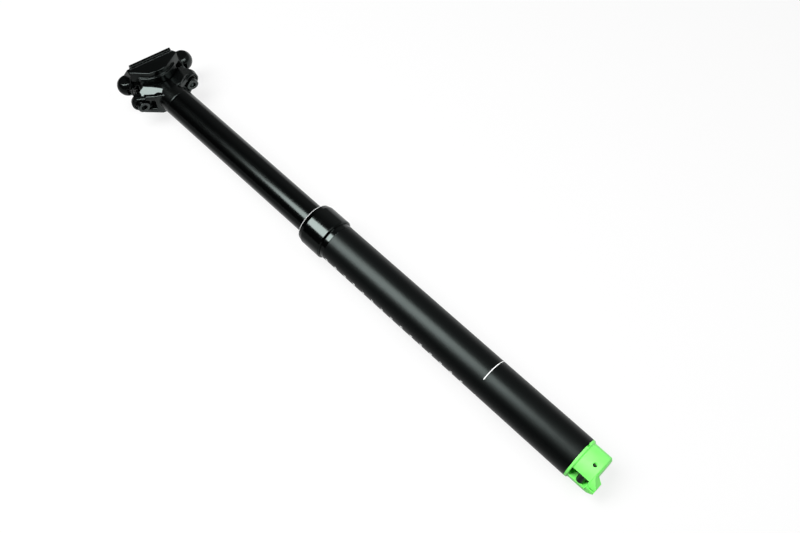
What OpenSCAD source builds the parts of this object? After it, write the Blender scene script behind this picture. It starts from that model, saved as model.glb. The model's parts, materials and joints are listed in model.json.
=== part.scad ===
// Dropper seatpost with an internal gas cartridge, a foot actuator and a two-bolt saddle clamp.
// Upright frame: +Z runs up the post, +X is forward, the origin is on the axis at the collar's shoulder.

/* [Outer tube] */
// Outside diameter that fits the frame's seat tube
tube_d = 31.6; // [31.4:0.1:34.9]
// Wall of the outer tube
tube_wall = 2.1; // [2:0.1:2.3]
// Length of the outer tube below the collar's shoulder
insert_len = 237.5; // [216:0.5:300]
// Length of the threaded neck that the collar screws onto
thread_len = 16; // [12:0.5:18]
// How far the threaded neck is turned down below the tube's surface
thread_step = 0.8; // [0.6:0.1:0.9]

/* [Stanchion] */
// Drop from the raised to the lowered saddle
travel = 160; // [100:5:180]
// Gap left between the collar and the head when the post is lowered
drop_gap = 5; // [4:0.5:12]
// Outside diameter of the sliding stanchion
stanchion_d = 25; // [24.8:0.1:25.2]
// Wall of the stanchion
stanchion_wall = 1.6; // [1.4:0.1:1.8]
// Length of the glide bushing at the stanchion's lower end
glide_len = 16; // [12:1:20]
// Wall left in the stanchion under the glide bushing is this much thinner
glide_seat = 0.3; // [0.2:0.05:0.4]

/* [Anti-rotation keys] */
// Number of brass keys around the stanchion
key_count = 3; // [2:1:4]
// Width of a key
key_w = 3; // [2:0.1:4]
// Length of a key
key_len = 14; // [10:1:18]
// How far a key is let into the stanchion
key_sink = 0.9; // [0.6:0.1:1]
// How far a key stands into the tube's groove
key_reach = 0.7; // [0.4:0.1:0.9]

/* [Collar and seals] */
// How far the collar stands out from the tube
collar_step = 1.75; // [1.6:0.05:3]
// Height of the collar above its lower band
collar_h = 23.3; // [21:0.1:30]
// How far the lower band of the collar stands out from the tube
band_step = 0.1; // [0.05:0.05:1]
// Height of the lower band
band_h = 4.5; // [3:0.1:7]
// Width of the bevel on the collar's lower edge
collar_bevel = 0.9; // [0.4:0.1:1.2]
// Height of the collar's tapered crown
crown_h = 4.3; // [2:0.1:6]
// How far the crown tapers in
crown_in = 1.1; // [0.6:0.1:1.3]
// Thickness of the inner lip that keeps the bushing down
lip_t = 1.8; // [1.2:0.1:2.5]
// Height of the oiled foam ring
foam_h = 3.6; // [2:0.1:4]
// Length of the upper bushing
bushing_len = 20; // [14:1:26]
// Radial width of the wiper and foam seats
seal_w = 2.4; // [2:0.1:2.6]
// How far the wiper's lip stands above the collar
wiper_lip = 1.1; // [0.6:0.1:2]

/* [Cartridge] */
// Outside diameter of the cartridge cylinder
cylinder_d = 19; // [18:0.1:19.6]
// Wall of the cartridge cylinder
cylinder_wall = 1.3; // [1:0.1:1.6]
// Thickness of the cylinder's closed foot
cylinder_foot = 4; // [3:0.5:6]
// Diameter of the cartridge rod
rod_d = 10; // [8:0.1:11]
// Diameter of the rod's threaded ends
rod_end_d = 5; // [4:0.1:6]
// Length of the gland that guides the rod
gland_len = 10; // [8:0.5:14]
// Length of the piston
piston_len = 12; // [9:0.5:16]
// Section of the piston's seal ring
seal_ring = 1.8; // [1.2:0.1:2.4]
// Diameter of the valve pin
valve_d = 3; // [2:0.1:4]
// How far the lever lifts the valve pin
valve_lift = 1.9; // [1:0.1:2.5]

/* [Foot plug] */
// Length of the foot plug inside the tube
plug_len = 9; // [8.5:0.5:12]
// Depth of the cylinder's socket in the plug
socket_depth = 5.5; // [4:0.5:5.5]
// Diameter of the plug's boss that carries the actuator
boss_d = 15; // [13:0.5:17]
// Length of the boss below the tube
boss_len = 5.5; // [4:0.1:6]

/* [Actuator] */
// Turn of the actuator about the post
actuator_turn = 22; // [-180:1:180]
// Diameter of the actuator housing below its rim
housing_d = 29.2; // [28.8:0.1:31]
// Height of the actuator housing
housing_h = 18; // [17.5:0.1:22]
// Height of the housing's wide rim against the tube
rim_h = 1.6; // [1:0.1:2.5]
// Width of the alignment notch in the rim
notch_w = 3; // [2:0.1:5]
// How far the cable lug hangs below the housing
lug_h = 4.8; // [4:0.1:8]
// Width of the cable lug at its lower end
lug_w = 11; // [9:0.5:14]
// Width of the slot that the lever works in
slot_w = 8.6; // [7.6:0.1:9.6]
// Distance of the lever's pivot from the post's axis
pivot_x = 6.7; // [6.4:0.1:7]
// Depth of the lever's pivot below the tube
pivot_drop = 12.1; // [11.6:0.1:12.6]
// Diameter of the lever's pivot pin
pivot_d = 3; // [2:0.1:3.4]
// Distance of the cable from the post's axis
cable_x = 11; // [10.8:0.1:11.2]
// Diameter of the cable housing's socket
cable_d = 5.2; // [4:0.1:5.4]
// Diameter of the inner cable's passage and slit
wire_d = 1.6; // [1.2:0.1:2]
// Diameter of the anchor that holds the cable's end
anchor_d = 4; // [3:0.1:4.2]
// Diameter of the grub screws that hold the housing
grub_d = 2.6; // [2:0.1:3]

/* [Head] */
// Tilt of the saddle rails from square to the post
clamp_tilt = 12.5; // [8:0.5:16]
// Height of the clamp's centre above the stanchion's top
clamp_rise = 23.2; // [22:0.1:26]
// Length of the head's spigot inside the stanchion
spigot_len = 15; // [10:0.5:20]
// Distance of each clamp bolt from the clamp's centre
bolt_x = 22.5; // [22:0.1:24]
// Shank diameter of the clamp bolts
bolt_d = 6; // [5:0.1:6.4]
// Head diameter of the clamp bolts
bolt_head_d = 10; // [8.5:0.1:11]
// Head height of the clamp bolts
bolt_head_h = 6; // [5:0.1:7]
// Key size of the bolts' hexagon sockets
bolt_key = 5; // [4:0.5:6]
// Thickness of the washers under the bolt heads
washer_t = 1; // [0.6:0.1:1.6]
// Radius of the ears around the bolts
ear_r = 7.8; // [7.2:0.1:8.2]
// Thickness of the ears
ear_t = 5.2; // [4.4:0.1:5.8]
// Depth of the seat that each bolt's washer sits in under its ear
seat_recess = 1.5; // [0.5:0.1:2]
// Height of the ears' undersides from the clamp's centre
ear_base = -4.1; // [-5:0.1:-3.5]
// Width of the arms
arm_w = 20; // [16:0.5:22]
// Thickness of the arms' flanges
arm_t = 3.2; // [2.6:0.1:4]
// Height of the broad front arm above the ears' undersides
brow_t = 8.2; // [7:0.1:8.8]
// Width of the front arm where it is broadest
brow_w = 25; // [22:0.5:27]
// Length of the saddle block that the cradle rocks on
block_l = 13; // [12.5:0.5:16]

/* [Saddle clamp] */
// Diameter of the saddle's rails
rail_d = 7; // [6.8:0.1:7.4]
// Distance between the rails' centres
rail_gap = 44; // [43:0.5:46]
// Height of the rails' centres above the clamp's centre
rail_h = 11.5; // [11:0.1:12.5]
// Split between the cradle and the upper clamp
clamp_split = 0.8; // [0.5:0.1:0.95]
// Height of the tilt axis above the clamp's centre
axis_h = 19; // [18.5:0.1:19.5]
// Radius of the rocking face under the cradle
rock_r = 23; // [22.6:0.1:23.2]
// Tilt that the clamp allows either way
tilt_range = 10; // [4:1:10]
// Length of the cradle's rail seats
seat_l = 38; // [34:0.5:42]
// Length of the upper clamp's wings
wing_l = 37; // [32:0.5:40]
// Width of the upper clamp across both wings
wing_w = 53; // [52:0.5:56]
// Width of the cradle across both seats
cradle_w = 51; // [50:0.5:55]
// Width of each of the cradle's side plates
plate_w = 10.5; // [9:0.5:12]
// Radius of the upper clamp's spine, which ends in two round noses
spine_r = 8.8; // [8.4:0.1:9.2]
// Distance of the noses' centres from the clamp's centre
nose_x = 25.5; // [25:0.1:26.5]
// How far both noses sit forward of the bolts
nose_shift = 1.2; // [0:0.1:1.5]
// Height of the spine's axis above the clamp's centre
spine_h = 20.3; // [20:0.1:20.8]
// Width of the shoulders that join the noses to the wings
shoulder_w = 34; // [30:0.5:36]
// Diameter of the barrel nuts
nut_d = 10; // [9:0.1:10.4]
// Length of the barrel nuts
nut_len = 11.5; // [10:0.5:11.5]

/* [Fits] */
// Radial running clearance of sliding and turning pieces
run_fit = 0.05; // [0.03:0.01:0.08]
// Clearance of pieces that are assembled and stay still
seat_fit = 0.05; // [0.03:0.01:0.08]
// Clearance of rough pieces that pass each other
free_gap = 0.4; // [0.3:0.05:0.6]

/* [Hidden] */
$fn = 96;
// Overshoot of cuts past the faces that they open
cut = 1;

// Radii of the telescoping tubes
tube_r = tube_d / 2;
bore_r = tube_r - tube_wall;
thread_r = tube_r - thread_step;
stanchion_r = stanchion_d / 2;
stanchion_bore_r = stanchion_r - stanchion_wall;
cylinder_r = cylinder_d / 2;
cylinder_bore_r = cylinder_r - cylinder_wall;
rod_r = rod_d / 2;
rod_end_r = rod_end_d / 2;
valve_r = valve_d / 2;

// Steps between the pieces along the post
foot_gap = 2;
glide_rise = 2;
key_rise = 3;
drop_stop = 3;
rise_stop = 1.5;
nut_rise = 4;

// Heights along the post
collar_top = band_h + collar_h;
neck_z = collar_top + travel + drop_gap;
head_z = neck_z + clamp_rise;
plug_top = -insert_len + plug_len;
stanchion_foot = plug_top + travel + foot_gap;
glide_z = stanchion_foot + glide_rise;
key_z = glide_z + glide_len + key_rise;
socket_z = plug_top - socket_depth;
rod_top = neck_z - spigot_len;
cylinder_top = rod_top - travel - drop_stop;
gland_z = cylinder_top - gland_len;
piston_z = gland_z - rise_stop - piston_len;
nut_z = neck_z + nut_rise;

// Collar seats
foam_z = thread_len + lip_t;
wiper_z = foam_z + foam_h;
seal_r = stanchion_r + seal_w;
lip_gap = 0.7;
lip_r = stanchion_r + lip_gap;
foam_gap = 0.1;
groove_w = 0.6;
groove_d = 0.25;
rim_bevel = 0.3;

// Small bevels and hexagons
bevel = 0.5;
piston_nut_af = 8;
piston_nut_h = 4;
rod_nut_af = 8;
rod_nut_h = 4;
stud_end = 1.5;

// Key grooves in the outer tube
key_base_r = stanchion_r - key_sink;
key_tip_r = bore_r + key_reach;
key_tip_gap = 0.25;
groove_r = key_tip_r + key_tip_gap;
key_side = 0.1;
groove_end = 1;

// Actuator, measured from the end of the tube
rim_r = tube_r - seat_fit;
housing_r = housing_d / 2;
boss_r = boss_d / 2;
boss_gap = 0.5;
floor_t = 2;
pocket_top = -boss_len - boss_gap;
pocket_floor = -housing_h + floor_t;
window_head = 2;
pocket_end = 4.5;
pivot_r = pivot_d / 2;
pin_recess = 1;
lever_side = 0.5;
lever_w = slot_w - 2 * lever_side;
hub_wall = 1.7;
hub_r = pivot_r + hub_wall;
hub_web = 2.4;
pad_r = 1.6;
pad_web = 1.2;
valve_show = 0.9;
valve_end = -boss_len - valve_lift - valve_show;
pad_z = valve_end - run_fit - pad_r;
anchor_r = anchor_d / 2;
anchor_rise = 1.6;
anchor_z = -pivot_drop + anchor_rise;
anchor_wall = 1;
anchor_web = anchor_r + anchor_wall / 2;
cable_r = cable_d / 2;
stop_drop = 0.5;
cable_floor = -housing_h - stop_drop;
lug_wall = 1.2;
lug_back = cable_x - cable_r - lug_wall;
lug_flare = 3.8;
lug_corner = 2.5;
foot_bevel = 1.4;
grub_drop = 1.6;
grub_z = -rim_h - grub_drop;
grub_turns = [0, 90];
grub_r = grub_d / 2;
grub_sink = 0.8;
grub_out = housing_r - grub_sink;
socket_key = 1.5;
socket_key_depth = 2;

// Clamp bolts and nuts, measured in the tilted frame
bolt_r = bolt_d / 2;
bolt_seat = ear_base + seat_recess - washer_t;
bolt_show = 3.4;
nut_r = nut_d / 2;
bolt_end = axis_h + nut_r + bolt_show;
thread_gap = 0.1;
head_gap = 1.2;
swing = bolt_x * (1 - cos(tilt_range));
nut_bore_r = bolt_r + swing + thread_gap;
slot_half = bolt_r + swing + (axis_h - spine_h + spine_r) * tan(tilt_range) + free_gap;
rail_r = rail_d / 2;
rail_y = rail_gap / 2;
seat_top = rail_h - clamp_split / 2;
wing_base = rail_h + clamp_split / 2;
wing_lip = 3;

// Side view of the head, with heights below the ears' undersides
neck_drop = 13.4;
waist_rise = 8;
waist_step = 4;
waist_run = 5;
arm_inset = 1;
arm_drop = 8.6;
arm_core = 12;
arm_fill = 5;
heel_run = 4.5;
toe_run = 2;
rib_w = 12;
rib_drop = 7;
rib_core = 8;
rib_top = 4;
rib_run = 3;
rib_knee = 1.2;
rib_toe = 5.5;
rib_bend = 6.6;
brow_drop = 8;
brow_run = 6;
brow_taper = 2;
brow_bend = 4.8;
brow_tip = 3.9;
brow_tip_w = 13.2;
web_w = 23.6;
web_x = 8;
web_half = 12.5;
web_rise = 1.3;
web_lap = 1;
web_toe = 2;
web_top = 6.3;
web_bend = 14.5;
web_rake = 18.7;
web_flare = 20.4;
pocket_w = bolt_head_d + 2 * free_gap;
pocket_deep = 10;
pocket_rise = 5.5;
pocket_roof = 2;

// Cradle and upper clamp
end_run = 2.5;
end_drop = 3;
keel_rise = 1.6;
bilge_rise = 2.6;
bilge_x = seat_l / 5;
shoe_reach = 16;
shoe_top = 9;
plate_gap = 0.5;
bridge_gap = 1;
shoulder_run = 2;
nose_root = 1;
crown_rise = spine_r / 2;
flat_top = 0.75 * spine_r;
nut_wall = 5;
nose_half = 7;
nose_side = sqrt(spine_r * spine_r - nose_half * nose_half);
roof_t = 1;
hollow_l = 2 * (bolt_x - nut_r - nut_wall);
hollow_w = cradle_w - 2 * plate_w + 2 * plate_gap;

// A flat outline in the XZ plane given thickness across the post
module across(width) {
  rotate([90, 0, 0])
    linear_extrude(height = width, center = true)
      children();
}

// The frame of the saddle clamp, tilted on the post's axis
module tilted() {
  translate([0, 0, head_z])
    rotate([0, clamp_tilt, 0])
      children();
}

// The frame of the actuator, hanging from the end of the outer tube
module at_foot() {
  translate([0, 0, -insert_len])
    rotate(actuator_turn)
      children();
}

// A plain ring from its two radii and its two heights
module ring(inner, outer, low, high) {
  translate([0, 0, low])
    difference() {
      cylinder(r = outer, h = high - low);
      translate([0, 0, -cut])
        cylinder(r = inner, h = high - low + 2 * cut);
    }
}

// A hexagonal prism across flats
module hexagon(flats, height) {
  cylinder(d = flats / cos(30), h = height, $fn = 6);
}

// A hexagonal nut with a plain bore
module hex_nut(flats, bore_radius, height) {
  difference() {
    hexagon(flats, height);
    translate([0, 0, -cut])
      cylinder(r = bore_radius, h = height + 2 * cut);
  }
}

module outer_tube() {
  groove_top = thread_len - bushing_len - groove_end;
  color("dimgray")
    difference() {
      union() {
        translate([0, 0, -insert_len])
          cylinder(r = tube_r, h = insert_len);
        cylinder(r = thread_r, h = thread_len);
      }
      translate([0, 0, -insert_len - cut])
        cylinder(r = bore_r, h = insert_len + thread_len + 2 * cut);
      for (i = [0 : key_count - 1])
        rotate(90 + i * 360 / key_count)
          translate([bore_r - cut, -key_w / 2 - key_side, plug_top])
            cube([groove_r - bore_r + cut, key_w + 2 * key_side, groove_top - plug_top]);
    }
}

module seal_collar() {
  collar_r = tube_r + collar_step;
  band_r = tube_r + band_step;
  crown_r = collar_r - crown_in;
  color("black")
    rotate_extrude()
      polygon([
        [thread_r + seat_fit, 0],
        [band_r - rim_bevel, 0],
        [band_r, rim_bevel],
        [band_r, band_h - groove_w],
        [band_r - groove_d, band_h - groove_w],
        [band_r - groove_d, band_h],
        [collar_r - collar_bevel, band_h],
        [collar_r, band_h + collar_bevel],
        [collar_r, collar_top - crown_h],
        [crown_r, collar_top - rim_bevel],
        [crown_r - rim_bevel, collar_top],
        [seal_r + seat_fit, collar_top],
        [seal_r + seat_fit, foam_z],
        [lip_r, foam_z],
        [lip_r, thread_len],
        [thread_r + seat_fit, thread_len]
      ]);
}

module wiper_seal() {
  lip_w = 0.6;
  lip_root = 0.2;
  skirt_gap = 1;
  skirt_r = stanchion_r + skirt_gap;
  color("black")
    rotate_extrude()
      polygon([
        [skirt_r, wiper_z],
        [seal_r, wiper_z],
        [seal_r, collar_top],
        [seal_r - bevel, collar_top + bevel / 2],
        [skirt_r, collar_top + bevel / 2],
        [stanchion_r + run_fit + lip_w, collar_top + wiper_lip],
        [stanchion_r + run_fit, collar_top + wiper_lip],
        [stanchion_r + run_fit, collar_top + wiper_lip - lip_w],
        [skirt_r - lip_root, collar_top - wiper_lip]
      ]);
}

module foam_ring() {
  color("goldenrod")
    ring(stanchion_r + foam_gap, seal_r, foam_z, wiper_z);
}

module upper_bushing() {
  color("slategray")
    ring(stanchion_r + run_fit, bore_r - seat_fit, thread_len - bushing_len, thread_len);
}

module foot_plug() {
  color("silver")
    difference() {
      union() {
        translate([0, 0, -insert_len])
          cylinder(r = bore_r - seat_fit, h = plug_len);
        translate([0, 0, -insert_len - boss_len])
          cylinder(r = boss_r, h = boss_len);
      }
      translate([0, 0, socket_z])
        cylinder(r = cylinder_r + seat_fit, h = socket_depth + cut);
      translate([0, 0, -insert_len - boss_len - cut])
        cylinder(r = valve_r + run_fit, h = plug_len + boss_len);
    }
}

module cartridge_cylinder() {
  color("gainsboro")
    difference() {
      translate([0, 0, socket_z])
        cylinder(r = cylinder_r, h = cylinder_top - socket_z);
      translate([0, 0, socket_z + cylinder_foot])
        cylinder(r = cylinder_bore_r, h = cylinder_top - socket_z);
      translate([0, 0, socket_z - cut])
        cylinder(r = valve_r + run_fit, h = cylinder_foot + 2 * cut);
    }
}

module rod_gland() {
  color("darkslategray")
    ring(rod_r + run_fit, cylinder_bore_r - seat_fit, gland_z, cylinder_top);
}

module valve_pin() {
  low = -insert_len + valve_end;
  color("silver")
    translate([0, 0, low])
      cylinder(r = valve_r, h = socket_z + cylinder_foot - low);
}

// The cable lug's tongue, seen along X, with rounded lower corners
module lug_outline() {
  half = lug_w / 2;
  shoulder = half + lug_flare;
  foot = -housing_h - lug_h;
  polygon([
    [-shoulder, -housing_h + cut],
    [-half, foot + lug_corner],
    [-half + lug_corner, foot],
    [half - lug_corner, foot],
    [half, foot + lug_corner],
    [shoulder, -housing_h + cut]
  ]);
}

module actuator_housing() {
  color("limegreen")
    at_foot()
      difference() {
        union() {
          rotate_extrude()
            polygon([
              [0, 0],
              [rim_r, 0],
              [rim_r, -rim_h],
              [housing_r, -rim_h - rim_r + housing_r],
              [housing_r, -housing_h + foot_bevel],
              [housing_r - foot_bevel, -housing_h],
              [0, -housing_h]
            ]);
          intersection() {
            translate([0, 0, -housing_h - lug_h])
              cylinder(r = housing_r, h = lug_h + cut);
            translate([-lug_back, 0, 0])
              rotate([90, 0, -90])
                linear_extrude(height = housing_r)
                  lug_outline();
          }
        }
        translate([0, 0, pocket_top])
          cylinder(r = boss_r + seat_fit, h = -pocket_top + cut);
        translate([-housing_r - cut, -slot_w / 2, pocket_floor])
          cube([housing_r + cut + pocket_end, slot_w, pocket_top - pocket_floor + cut]);
        translate([-housing_r - cut, -slot_w / 2, pocket_floor])
          cube([housing_r + cut - boss_r, slot_w, -window_head - pocket_floor]);
        translate([-cable_x, 0, -housing_h - lug_h - cut])
          cylinder(r = cable_r, h = lug_h + cut + cable_floor + housing_h);
        translate([-cable_x, 0, cable_floor - cut])
          cylinder(d = wire_d, h = pocket_floor - cable_floor + 2 * cut);
        translate([-housing_r - cut, -wire_d / 2, -housing_h - lug_h - cut])
          cube([housing_r + cut - cable_x, wire_d, housing_h + lug_h + pocket_floor + 2 * cut]);
        translate([-pivot_x, 0, -pivot_drop])
          rotate([90, 0, 0])
            cylinder(r = pivot_r + seat_fit, h = 2 * tube_r, center = true);
        for (turn = grub_turns)
          rotate(turn)
            translate([0, 0, grub_z])
              rotate([0, 90, 0])
                cylinder(r = grub_r + seat_fit, h = tube_d);
        translate([-notch_w / 2, -rim_r - cut, -rim_h])
          cube([notch_w, rim_r - housing_r + 2 * cut, rim_h + cut]);
      }
}

module housing_screws() {
  color("dimgray")
    at_foot()
      for (turn = grub_turns)
        rotate(turn)
          translate([grub_out, 0, grub_z])
            rotate([0, -90, 0])
              difference() {
                cylinder(r = grub_r, h = grub_out - boss_r - seat_fit);
                translate([0, 0, -cut])
                  hexagon(socket_key, cut + socket_key_depth);
              }
}

module lever_pivot_pin() {
  half = sqrt(housing_r * housing_r - pivot_x * pivot_x) - pin_recess;
  color("gray")
    at_foot()
      translate([-pivot_x, 0, -pivot_drop])
        rotate([90, 0, 0])
          cylinder(r = pivot_r, h = 2 * half, center = true);
}

// A round eye of the lever, lying across the slot
module lever_eye(x, z, radius, width) {
  translate([x, 0, z])
    rotate([90, 0, 0])
      cylinder(r = radius, h = width, center = true);
}

// Side view of the bent web that joins the lever's three eyes
module lever_web() {
  polygon([
    [-pivot_x, -pivot_drop + hub_web],
    [0, pad_z + pad_web],
    [0, pad_z - pad_web],
    [-pivot_x, -pivot_drop - hub_web],
    [-cable_x, anchor_z - anchor_web],
    [-cable_x, anchor_z + anchor_web]
  ]);
}

module actuator_lever() {
  color("black")
    at_foot()
      difference() {
        union() {
          lever_eye(-pivot_x, -pivot_drop, hub_r, lever_w);
          lever_eye(0, pad_z, pad_r, lever_w);
          lever_eye(-cable_x, anchor_z, anchor_r + anchor_wall, lever_w);
          across(lever_w)
            lever_web();
        }
        lever_eye(-pivot_x, -pivot_drop, pivot_r + run_fit, slot_w);
        lever_eye(-cable_x, anchor_z, anchor_r + seat_fit, slot_w);
        translate([-cable_x - wire_d / 2, -wire_d / 2, anchor_z - anchor_r - hub_r])
          cube([wire_d, wire_d, anchor_r + hub_r]);
      }
}

module cable_anchor() {
  color("silver")
    at_foot()
      translate([-cable_x, 0, anchor_z])
        difference() {
          rotate([90, 0, 0])
            cylinder(r = anchor_r, h = lever_w, center = true);
          translate([0, 0, -anchor_r - cut])
            cylinder(d = wire_d, h = 2 * anchor_r + 2 * cut);
        }
}

module stanchion() {
  color("black")
    difference() {
      ring(stanchion_bore_r, stanchion_r, stanchion_foot, neck_z);
      ring(stanchion_r - glide_seat, stanchion_r + cut, glide_z, glide_z + glide_len);
      for (i = [0 : key_count - 1])
        rotate(90 + i * 360 / key_count)
          translate([key_base_r, -key_w / 2 - seat_fit, key_z])
            cube([key_sink + cut, key_w + 2 * seat_fit, key_len]);
    }
}

module glide_bushing() {
  split_w = 1.2;
  color("slategray")
    difference() {
      ring(stanchion_r - glide_seat + seat_fit, bore_r - run_fit, glide_z, glide_z + glide_len);
      rotate(90 + 180 / key_count)
        translate([0, -split_w / 2, glide_z - cut])
          cube([tube_r, split_w, glide_len + 2 * cut]);
    }
}

module guide_keys() {
  color("goldenrod")
    for (i = [0 : key_count - 1])
      rotate(90 + i * 360 / key_count)
        translate([key_base_r + seat_fit, -key_w / 2, key_z])
          cube([key_tip_r - key_base_r - seat_fit, key_w, key_len]);
}

module cartridge_rod() {
  low = piston_z - piston_nut_h - stud_end;
  high = nut_z + rod_nut_h + stud_end;
  color("silver")
    union() {
      translate([0, 0, piston_z + piston_len])
        cylinder(r = rod_r, h = rod_top - piston_z - piston_len);
      translate([0, 0, low])
        cylinder(r = rod_end_r, h = high - low);
    }
}

module rod_piston() {
  mid = piston_z + piston_len / 2;
  color("gray")
    difference() {
      ring(rod_end_r + seat_fit, cylinder_bore_r - run_fit, piston_z, piston_z + piston_len);
      ring(cylinder_bore_r - seal_ring, cylinder_bore_r + cut, mid - seal_ring / 2, mid + seal_ring / 2);
    }
}

module piston_seal() {
  mid = piston_z + piston_len / 2;
  inner = cylinder_bore_r - seal_ring + seat_fit;
  color("black")
    ring(inner, cylinder_bore_r - run_fit, mid - seal_ring / 2, mid + seal_ring / 2);
}

module piston_nut() {
  color("silver")
    translate([0, 0, piston_z - piston_nut_h])
      hex_nut(piston_nut_af, rod_end_r + seat_fit, piston_nut_h);
}

module rod_nut() {
  color("silver")
    translate([0, 0, nut_z])
      hex_nut(rod_nut_af, rod_end_r + seat_fit, rod_nut_h);
}

// The neck in side view: a full post below, milled down to the saddle block above
module neck_outline() {
  half = block_l / 2;
  wide = 2 * stanchion_r;
  base = ear_base - neck_drop;
  polygon([
    [-wide, base - 2 * clamp_rise],
    [wide, base - 2 * clamp_rise],
    [wide, base],
    [half + waist_run, base + waist_step],
    [half, base + waist_rise],
    [half, 0],
    [-half, 0],
    [-half, base + waist_rise],
    [-half - waist_run, base + waist_step],
    [-wide, base]
  ]);
}

// One arm of the head in side view: a sloping flange that ends under the ear
module arm_outline() {
  root = stanchion_r - arm_inset;
  tip = bolt_x + ear_r;
  polygon([
    [0, ear_base - arm_core],
    [root, ear_base - arm_drop],
    [bolt_x + heel_run, ear_base],
    [tip, ear_base + bevel],
    [tip, ear_base + arm_t],
    [bolt_x + toe_run, ear_base + arm_t],
    [root, ear_base - arm_drop + arm_t],
    [0, ear_base - arm_core + arm_fill]
  ]);
}

// The rib that stiffens an arm up to the ear's top
module rib_outline() {
  polygon([
    [0, ear_base - rib_core],
    [stanchion_r, ear_base - rib_drop],
    [bolt_x, ear_base],
    [bolt_x, ear_base + ear_t],
    [bolt_x - rib_toe, ear_base + ear_t],
    [bolt_x - rib_bend, ear_base + rib_knee],
    [block_l / 2 + rib_run, ear_base - rib_top],
    [0, ear_base - rib_top]
  ]);
}

// The broad front arm in side view, which the rocking face hollows out
module brow_outline() {
  root = block_l / 2 + brow_run;
  tip = bolt_x + ear_r;
  polygon([
    [0, ear_base - brow_drop],
    [root, ear_base - brow_drop],
    [bolt_x, ear_base],
    [tip, ear_base + bevel],
    [tip, ear_base + ear_t],
    [bolt_x, ear_base + brow_t],
    [0, ear_base + brow_t]
  ]);
}

// Plan of the broad front arm, tapering to the round ear
module brow_plan() {
  half = brow_w / 2;
  polygon([
    [0, -half + brow_taper],
    [bolt_x - brow_bend, -half],
    [bolt_x + brow_tip, -brow_tip_w / 2],
    [bolt_x + brow_tip, brow_tip_w / 2],
    [bolt_x - brow_bend, half],
    [0, half - brow_taper]
  ]);
  translate([bolt_x, 0])
    circle(r = ear_r);
}

// Plan of both arms, with round ends about the bolts
module arm_plan() {
  for (side = [-1, 1])
    translate([side * bolt_x, 0])
      circle(r = ear_r);
  square([2 * bolt_x, 2 * ear_r], center = true);
  square([2 * bolt_x - ear_r, arm_w], center = true);
}

// The web that fills the space between the rear arm and the rocking face, with raked and flared sides
module rear_web() {
  root = stanchion_r - arm_inset;
  tip = bolt_x - web_toe;
  slope = arm_drop / (bolt_x + toe_run - root);
  difference() {
    across(web_w)
      polygon([
        [-block_l / 4, ear_base - arm_core + arm_fill - web_lap],
        [-root, ear_base - arm_drop + arm_t - web_lap],
        [-tip, ear_base + arm_t - web_lap - slope * (web_toe + toe_run)],
        [-tip, ear_base + ear_t - web_lap],
        [-web_bend, ear_base + web_top],
        [-block_l / 4, ear_base + web_top]
      ]);
    for (side = [0, 1])
      mirror([0, side, 0])
        translate([-web_x, -web_half, ear_base + web_rise])
          rotate([web_flare, 0, -web_rake])
            translate([-brow_w, -2 * brow_w, -brow_w])
              cube(2 * brow_w);
  }
}

// Side view of the pocket under an arm, which makes the arm a channel around the bolt's head
module arm_pocket() {
  polygon([
    [stanchion_r, ear_base - pocket_deep],
    [stanchion_r, ear_base - pocket_rise],
    [bolt_x - ear_r, ear_base - pocket_roof],
    [bolt_x, ear_base - pocket_roof],
    [bolt_x, ear_base - pocket_deep]
  ]);
}

module head() {
  nut_pocket_r = rod_nut_af / 2 / cos(30) + free_gap;
  plan_low = ear_base - arm_core - cut;
  plan_h = arm_core + brow_t + 2 * cut;
  color("black")
    difference() {
      union() {
        translate([0, 0, rod_top])
          cylinder(r = stanchion_bore_r - seat_fit, h = spigot_len);
        intersection() {
          translate([0, 0, neck_z])
            cylinder(r = stanchion_r, h = clamp_rise);
          tilted()
            across(3 * stanchion_r)
              neck_outline();
        }
        tilted()
          intersection() {
            union() {
              for (side = [0, 1])
                mirror([side, 0, 0])
                  across(arm_w)
                    arm_outline();
              for (side = [0, 1])
                mirror([side, 0, 0])
                  across(rib_w)
                    rib_outline();
              for (side = [-1, 1])
                translate([side * bolt_x, 0, ear_base])
                  cylinder(r = ear_r - bevel, h = ear_t);
            }
            translate([0, 0, plan_low])
              linear_extrude(height = plan_h)
                arm_plan();
          }
        tilted()
          rear_web();
        tilted()
          intersection() {
            across(brow_w)
              brow_outline();
            translate([0, 0, plan_low])
              linear_extrude(height = plan_h)
                brow_plan();
          }
      }
      tilted()
        translate([0, 0, axis_h])
          rotate([90, 0, 0])
            cylinder(r = rock_r + run_fit, h = 4 * stanchion_r, center = true);
      tilted()
        for (side = [-1, 1])
          translate([side * bolt_x, 0, ear_base - pocket_deep]) {
            cylinder(r = bolt_r + swing + free_gap / 2, h = plan_h + pocket_deep);
            cylinder(r = bolt_head_d / 2 + head_gap, h = pocket_deep + seat_recess);
          }
      tilted()
        for (side = [0, 1])
          mirror([side, 0, 0])
            across(pocket_w)
              arm_pocket();
      translate([0, 0, rod_top - cut])
        cylinder(r = rod_end_r + seat_fit, h = spigot_len + clamp_rise);
      translate([0, 0, nut_z])
        cylinder(r = nut_pocket_r, h = 2 * clamp_rise);
    }
}

module bolt_washers() {
  color("silver")
    tilted()
      for (side = [-1, 1])
        translate([side * bolt_x, 0, bolt_seat])
          difference() {
            cylinder(r = bolt_head_d / 2 + free_gap, h = washer_t);
            translate([0, 0, -cut])
              cylinder(r = bolt_r + seat_fit, h = washer_t + 2 * cut);
          }
}

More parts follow.
